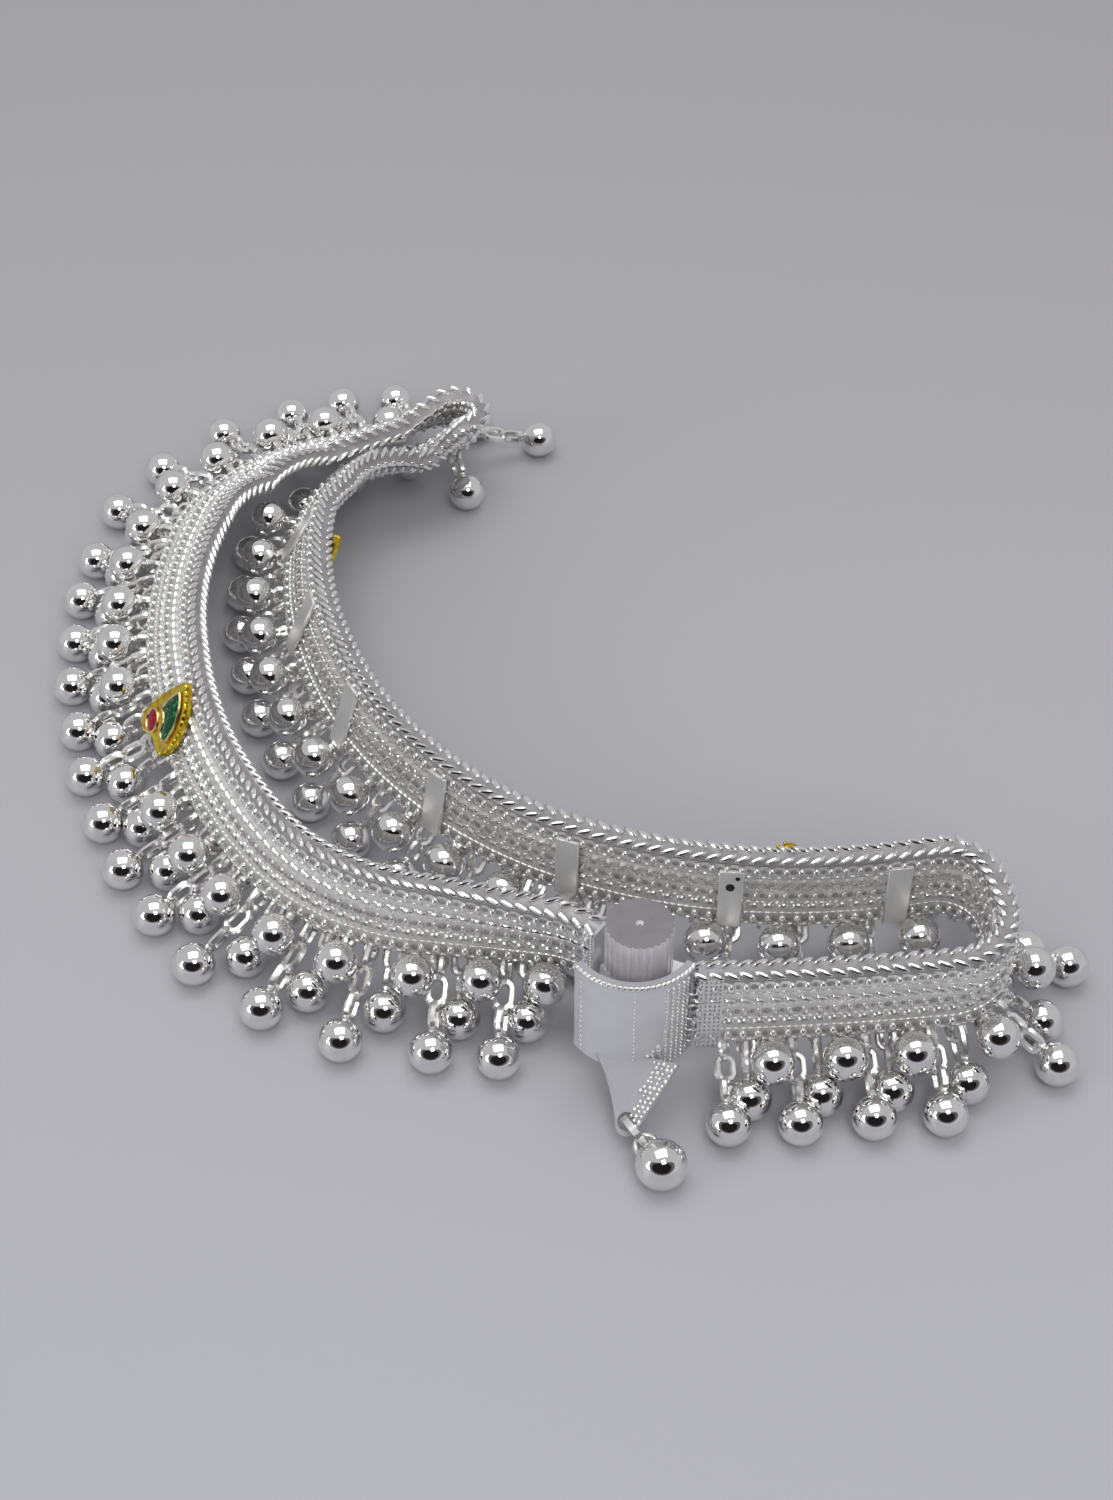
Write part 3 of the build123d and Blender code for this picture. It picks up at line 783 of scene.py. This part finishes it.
# Small grains soldered on: close columns down the plate's right side, a fine line down
# its middle, and a heap along the right of the tail.
GRAIN = 0.46
FIRST_GRAIN = PLATE_BOTTOM + 0.3
PLATE_COLUMNS = [
    # angle    size   pitch
    (270,      0.42,  0.5),
    (221,      0.42,  0.62),
    (297,      0.9,   0.44),
    (302.5,    1.0,   0.48),
    (308,      0.8,   0.42),
    (313.5,    1.0,   0.48),
    (319,      0.9,   0.46),
    (325,      0.9,   0.44),
]
HEAP_ANGLES = (276, 281, 286, 291)      # the heap at the plate's foot rises to the right
HEAP_SLOPE = 0.10
TAIL_ROWS, TAIL_FIRST_ROW, TAIL_ROW_PITCH, TAIL_COLUMN_PITCH = 14, 0.35, 0.43, 0.44
TAIL_EDGE_CLEAR = 0.2
TAIL_HEAP_WIDE, TAIL_HEAP_NARROWING = 1.9, 1.2
ASTRAY = 0.08
random.seed(3)
for angle, size, pitch in PLATE_COLUMNS:
    height = FIRST_GRAIN
    while height < PLATE_TOP - 0.5:
        spot, outward, sideways = on_plate(angle, height)
        grain_places.append((spot, sideways, outward, (size, size, size)))
        height += pitch
for angle in HEAP_ANGLES:
    height = FIRST_GRAIN
    while height < PLATE_BOTTOM + 0.6 + (angle - 270) * HEAP_SLOPE:
        spot, outward, sideways = on_plate(angle + random.uniform(-1, 1), height)
        size = random.uniform(0.75, 1.1)
        grain_places.append((spot, sideways, outward, (size, size, size)))
        height += GRAIN

for row in range(TAIL_ROWS):
    down = TAIL_FIRST_ROW + row * TAIL_ROW_PITCH
    edge = TAIL_RIGHT - (TAIL_RIGHT - TAIL_TIP_RIGHT) * down / TAIL_LENGTH - TAIL_EDGE_CLEAR
    wide = TAIL_HEAP_WIDE - TAIL_HEAP_NARROWING * down / TAIL_LENGTH
    column = 0.0
    while column < wide:
        size = random.uniform(0.7, 1.15)
        spot = on_tail(edge - column + random.uniform(-ASTRAY, ASTRAY),
                       -down + random.uniform(-ASTRAY, ASTRAY), TAIL_HALF_THICK)
        grain_places.append((spot, TAIL_ACROSS, tail_normal, (size, size, size)))
        column += TAIL_COLUMN_PITCH
grain = shape("grain", drop(GRAIN, GRAIN, GRAIN, around=7, rings=5))
grains = lay("clasp_grains", grain_places, grain, silver_wire, spread=0.06)

# A twisted wire is soldered round the plate's top edge.
RIM_STEP, RIM_SINK, RIM_LEAN = 4.6, 0.05, 0.5
rim_places = []
angle = PLATE_LEFT + 2
while angle < PLATE_RIGHT - 1:
    spot, outward, sideways = on_plate(angle, PLATE_TOP - RIM_SINK, -RIM_SINK)
    lie = (sideways + Vector((0, 0, RIM_LEAN))).normalized()
    rim_places.append((spot, lie, outward, PLAIN))
    angle += RIM_STEP
rim_turn = shape("rim turn", drop(0.95, 0.40, 0.44, around=8, rings=6))
rim = lay("plate_rim", rim_places, rim_turn, silver_wire, spread=0.03)
for piece in (grains, rim):
    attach(piece, "anklet")

# ------------------------------------------------------------------ the mango motifs
# A mango shape stamped from sheet and gilded, with a serrated edge down one side.  Each
# field is walled by a pale wire, filled with vitreous enamel and fired to a glossy dome.

MOTIF_RISE = 4.3
MOTIF_THICK = 0.8
ROWS_THICK = 1.7
WALL_HEIGHT, WALL_RADIUS, WALL_OUT = MOTIF_THICK - 0.06, 0.13, 0.10
MOTIFS = [
    # name     along   off    enamel of the large field and of the small one
    ("left",     55,   0.46,  ("green", "red")),
    ("inner",   166,   0.52,  ("red", "blue")),
    ("front",   240,   0.54,  ("green", "red")),
]
MOTIF_OUTLINE = [
    ((-4.08, -3.23), (-2.28, 0.76), (-0.1, 3.89)),
    ((-0.1, 3.89), (0.38, 4.13), (0.85, 3.89)),
    ((0.85, 3.89), (3.32, 1.23), (3.13, -2.09)),
    ((3.13, -2.09), (2.38, -3.32), (0.95, -3.42)),
    ((0.95, -3.42), (-0.38, -3.42), (-1.52, -3.89)),
    ((-1.52, -3.89), (-3.13, -4.18), (-4.08, -3.23)),
]
LARGE_FIELD = [
    ((-1.04, -0.28), (-0.57, 1.33), (0.38, 2.75)),
    ((0.38, 2.75), (2.09, 1.14), (2.28, -0.85)),
    ((2.28, -0.85), (1.71, -1.9), (0.76, -1.61)),
    ((0.76, -1.61), (0.19, -0.66), (-1.04, -0.28)),
]
FIELD_STEP = 0.25
SMALL_FIELD = [
    ((-2.85, -2.56), (-1.71, -1.33), (-0.57, -2.18)),
    ((-0.57, -2.18), (-1.71, -3.42), (-2.85, -2.56)),
]
SERRATED_ARC = MOTIF_OUTLINE[2]      # the arc that carries the serrated edge
SPIKE_STEP, SPIKE_OUT, SPIKE_SINK, SPIKE_LEAN = 0.62, 0.02, 0.18, 0.35

# Gilding, rubbed to a high polish: a warm yellow that darkens to amber in patches.
gilt = metal("gilt polished", "F3D84C", "BE9C22", 0.14, 0.26, 0.9)
# The walls' wire has a thinner gilding, so the silver pales it.
pale_gilt = metal("gilt wire pale", "F6E3B4", "E2C888", 0.20, 0.30, 0.7)


def enamel(name, deep, light):
    """Vitreous enamel over a tooled ground: a glossy lumpy surface and lighter flecks."""
    material = bpy.data.materials.new(name)
    material.use_nodes = True
    tree = material.node_tree
    shader = tree.nodes["Principled BSDF"]
    shader.inputs["Roughness"].default_value = 0.16
    shader.inputs["Specular IOR Level"].default_value = 0.18
    where = add_node(tree, "ShaderNodeTexCoord")
    fleck = add_node(tree, "ShaderNodeTexVoronoi", {"Scale": 1 / (0.45 * MM)},
                     {"Vector": where.outputs["Object"]}, feature="SMOOTH_F1")
    tone = add_node(tree, "ShaderNodeValToRGB", links={"Fac": fleck.outputs["Distance"]})
    tone.color_ramp.elements[0].color = linear(light)
    tone.color_ramp.elements[0].position = 0.05
    tone.color_ramp.elements[1].color = linear(deep)
    tone.color_ramp.elements[1].position = 0.36
    relief = add_node(tree, "ShaderNodeBump", {"Strength": 0.7, "Distance": 0.12 * MM},
                      {"Height": fleck.outputs["Distance"]}, invert=True)
    tree.links.new(tone.outputs["Color"], shader.inputs["Base Color"])
    tree.links.new(relief.outputs["Normal"], shader.inputs["Normal"])
    return material


enamels = {
    "green": enamel("vitreous enamel green", "013D1B", "12A252"),
    "red": enamel("vitreous enamel red", "7E0410", "BE2230"),
    "blue": enamel("vitreous enamel blue", "080F6E", "2838B4"),
}


def outline_points(arcs, step=0.3):
    """Points along a run of arcs, about a step apart."""
    points = []
    for arc in arcs:
        start, middle, end = (Vector(place) for place in arc)
        length = (middle - start).length + (end - middle).length
        points += arc_points(arc, max(3, round(length / step)))
    return points


def inset(points, amount):
    """The outline moved inwards by that much, whichever way round it runs."""
    area = sum(a.x * b.y - b.x * a.y for a, b in zip(points, points[1:] + points[:1]))
    side = 1 if area > 0 else -1
    moved = []
    for i, point in enumerate(points):
        run = (points[(i + 1) % len(points)] - points[i - 1]).normalized()
        moved.append(point + Vector((-run.y, run.x)) * side * amount)
    return moved


def stack(bm, rings, place):
    """A closed body through outlines at heights, flat at both ends."""
    skin(bm, [[bm.verts.new(place(point, height)) for point in points]
              for points, height in rings])


def wire_round(bm, points, height, radius, place, across=6):
    """A wire lying along a closed outline."""
    hoops = []
    for i, point in enumerate(points):
        run = (points[(i + 1) % len(points)] - points[i - 1]).normalized()
        aside = Vector((-run.y, run.x))
        hoops.append([bm.verts.new(place(point + aside * cos(2 * pi * k / across) * radius,
                                         height + sin(2 * pi * k / across) * radius))
                      for k in range(across)])
    skin(bm, hoops, endless=True)


serration = shape("serration", drop(0.62, 0.40, 0.50, around=8, rings=6))
for motif_name, along, off, colours in MOTIFS:
    foot, outward, up, onward = strip_at(along)
    middle = foot + up * MOTIF_RISE + outward * (ROWS_THICK / 2 + off)

    def on_face(point, height):
        """A point of the motif's outline, at a height over its back, in metres."""
        return (middle - onward * point.x + up * point.y + outward * height) * MM

    outline = outline_points(MOTIF_OUTLINE)
    top = MOTIF_THICK
    bm = bmesh.new()
    stack(bm, [(outline, 0.0), (outline, top - 0.25), (inset(outline, 0.10), top - 0.06),
               (inset(outline, 0.28), top), (inset(outline, 0.46), top - 0.10),
               (inset(outline, 0.60), top - 0.16)], on_face)
    base = from_bm(f"mango_{motif_name}", bm, gilt)
    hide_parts(f"motif_{motif_name}")
    gilt_pieces = [base]

    spikes = []
    steps = outline_points([SERRATED_ARC], SPIKE_STEP)
    for here, following in zip(steps, steps[1:]):
        run = (following - here).normalized()
        aside = Vector((run.y, -run.x))
        if aside.dot(here) < 0:
            aside = -aside
        spot = here + aside * SPIKE_OUT
        points_out = -onward * aside.x + up * aside.y
        where = middle - onward * spot.x + up * spot.y + outward * (top - SPIKE_SINK)
        lie = (points_out + outward * SPIKE_LEAN).normalized()
        spikes.append((where, lie, outward, PLAIN))
    gilt_pieces.append(lay(f"mango_edge_{motif_name}", spikes, serration, gilt))

    bm = bmesh.new()
    for field in (LARGE_FIELD, SMALL_FIELD):
        wall = inset(outline_points(field, FIELD_STEP), -WALL_OUT)
        wire_round(bm, wall, WALL_HEIGHT, WALL_RADIUS, on_face)
    gilt_pieces.append(from_bm(f"mango_walls_{motif_name}", bm, pale_gilt))
    for piece in gilt_pieces:
        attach(piece, "anklet")

    for colour, field in zip(colours, (LARGE_FIELD, SMALL_FIELD)):
        edge = outline_points(field, FIELD_STEP)
        bm = bmesh.new()
        stack(bm, [(edge, top - 0.45), (edge, top - 0.10), (inset(edge, 0.12), top - 0.01),
                   (inset(edge, 0.30), top + 0.05)], on_face)
        glass = from_bm(f"mango_{motif_name}_{colour}", bm, enamels[colour])
        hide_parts(f"motif_{motif_name}_{colour}")
        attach(glass, "anklet")

# The small shapes have all been laid: their patterns go.
for pattern in patterns:
    bpy.data.objects.remove(pattern)

# ------------------------------------------------------------------ the studio
# A pale table under a window overhead, with a small lamp, light from a door on the left and
# an even fill.  The polished bells mirror two dark things in the room.

# Matt grey paint clouded by wide soft patches, with a painted falloff of light that makes
# it a little darker and warmer towards the back.
TABLE_NEAR, TABLE_FAR = -0.07, 0.17
table_top = bpy.data.materials.new("table paint matt")
table_top.use_nodes = True
tree = table_top.node_tree
where = add_node(tree, "ShaderNodeTexCoord")
haze = add_node(tree, "ShaderNodeTexNoise", {"Scale": 7.0, "Detail": 2.0},
                {"Vector": where.outputs["Object"]})
place = add_node(tree, "ShaderNodeSeparateXYZ", links={0: where.outputs["Object"]})
fade = add_node(tree, "ShaderNodeMapRange", {"From Min": TABLE_NEAR, "From Max": TABLE_FAR},
                {"Value": place.outputs["Y"]})
drift = add_node(tree, "ShaderNodeMath", {1: 0.35}, {0: haze.outputs["Fac"]},
                 operation="MULTIPLY")
both = add_node(tree, "ShaderNodeMath", {}, {0: fade.outputs["Result"], 1: drift.outputs[0]},
                operation="ADD")
tone = add_node(tree, "ShaderNodeValToRGB", links={"Fac": both.outputs[0]})
tone.color_ramp.elements[0].color = linear("AAAAB1")
tone.color_ramp.elements[1].color = linear("A3A2A3")
shader = tree.nodes["Principled BSDF"]
shader.inputs["Roughness"].default_value = 0.6
tree.links.new(tone.outputs["Color"], shader.inputs["Base Color"])

floor_mesh = bpy.data.meshes.new("table")
TABLE_REACH = 2.0
corners = [(x * TABLE_REACH, y * TABLE_REACH, 0) for x, y in ((-1, -1), (1, -1), (1, 1), (-1, 1))]
floor_mesh.from_pydata(corners, [], [(0, 1, 2, 3)])
floor_mesh.materials.append(table_top)
floor = new_piece("table", floor_mesh)

world = bpy.data.worlds.new("studio")
world.use_nodes = True
bpy.context.scene.world = world
sky = world.node_tree.nodes["Background"]
sky.inputs["Color"].default_value = linear("E9E9EC")
sky.inputs["Strength"].default_value = 0.62
bpy.context.scene.view_settings.view_transform = "Standard"

focus = Vector((0, -0.01, 0.008))


def from_focus(azimuth, elevation, distance):
    """A point seen from the object: azimuth 0 is straight in front, elevation above level."""
    flat = cos(radians(elevation))
    return focus + Vector((sin(radians(azimuth)) * flat, -cos(radians(azimuth)) * flat,
                           sin(radians(elevation)))) * distance


def aim(thing, place):
    """Sets a thing at a place, turned to the focus."""
    thing.location = place
    thing.rotation_euler = (focus - place).to_track_quat("-Z", "Y").to_euler()


def soft_light(name, azimuth, elevation, distance, width, height, watts, shown=True):
    """A lit panel.  The silver mirrors it if it is shown, and is only lit by it if not."""
    lamp = bpy.data.lights.new(name, "AREA")
    lamp.shape = "RECTANGLE"
    lamp.size, lamp.size_y, lamp.energy = width, height, watts
    holder = bpy.data.objects.new(name, lamp)
    bpy.context.scene.collection.objects.link(holder)
    holder.visible_glossy = shown
    aim(holder, from_focus(azimuth, elevation, distance))


#                 azimuth  elevation  distance  width  height  watts
soft_light("window",  190,  82,        0.5,      0.44,  0.34,   0.85)
soft_light("lamp",    16,   57,        0.42,     0.12,  0.12,   0.18)
soft_light("door",    299,  21,        0.5,      0.20,  0.22,   0.45)
soft_light("fill",    14,   44,        0.7,      0.50,  0.40,   1.45, shown=False)


def dark_screen(name, tone, distance, sideways, lowest, highest):
    """Something dark in the room, curved round the object, that only the silver shows."""
    cloth = bpy.data.materials.new(name + " cloth")
    cloth.use_nodes = True
    shader = cloth.node_tree.nodes["Principled BSDF"]
    shader.inputs["Base Color"].default_value = linear(tone)
    shader.inputs["Roughness"].default_value = 1.0
    middle, half = (lowest + highest) / 2, (highest - lowest) / 2
    across, around = 6, 28
    bm = bmesh.new()
    centre = bm.verts.new(from_focus(0, middle, distance))
    rings = []
    for j in range(1, across + 1):
        rings.append([bm.verts.new(from_focus(
            sideways * j / across * cos(2 * pi * i / around),
            middle + half * j / across * sin(2 * pi * i / around), distance))
            for i in range(around)])
    for i in range(around):
        bm.faces.new((centre, rings[0][i - 1], rings[0][i]))
        for ring, wider in zip(rings, rings[1:]):
            bm.faces.new((ring[i - 1], wider[i - 1], wider[i], ring[i]))
    card = from_bm(name, bm, cloth)
    card.visible_camera = False
    card.visible_diffuse = False
    card.visible_shadow = False


#                    tone      distance  sideways  lowest  highest
dark_screen("sleeve", "7C7679", 0.50,     66,       4,      56)
dark_screen("hand",   "1C191B", 0.46,     47,       9,      54)

# A long lens, looking down from straight in front.
CAMERA_PITCH = 43.5
camera_data = bpy.data.cameras.new("camera")
camera_data.sensor_fit = "VERTICAL"
camera_data.sensor_height = 36
camera_data.lens = 58.56
camera_data.clip_start = 0.01
camera = bpy.data.objects.new("camera", camera_data)
bpy.context.scene.collection.objects.link(camera)
camera.location = (0.00194, -0.17719, 0.16633)
camera.rotation_euler = (radians(90 - CAMERA_PITCH), 0, 0)
bpy.context.scene.camera = camera
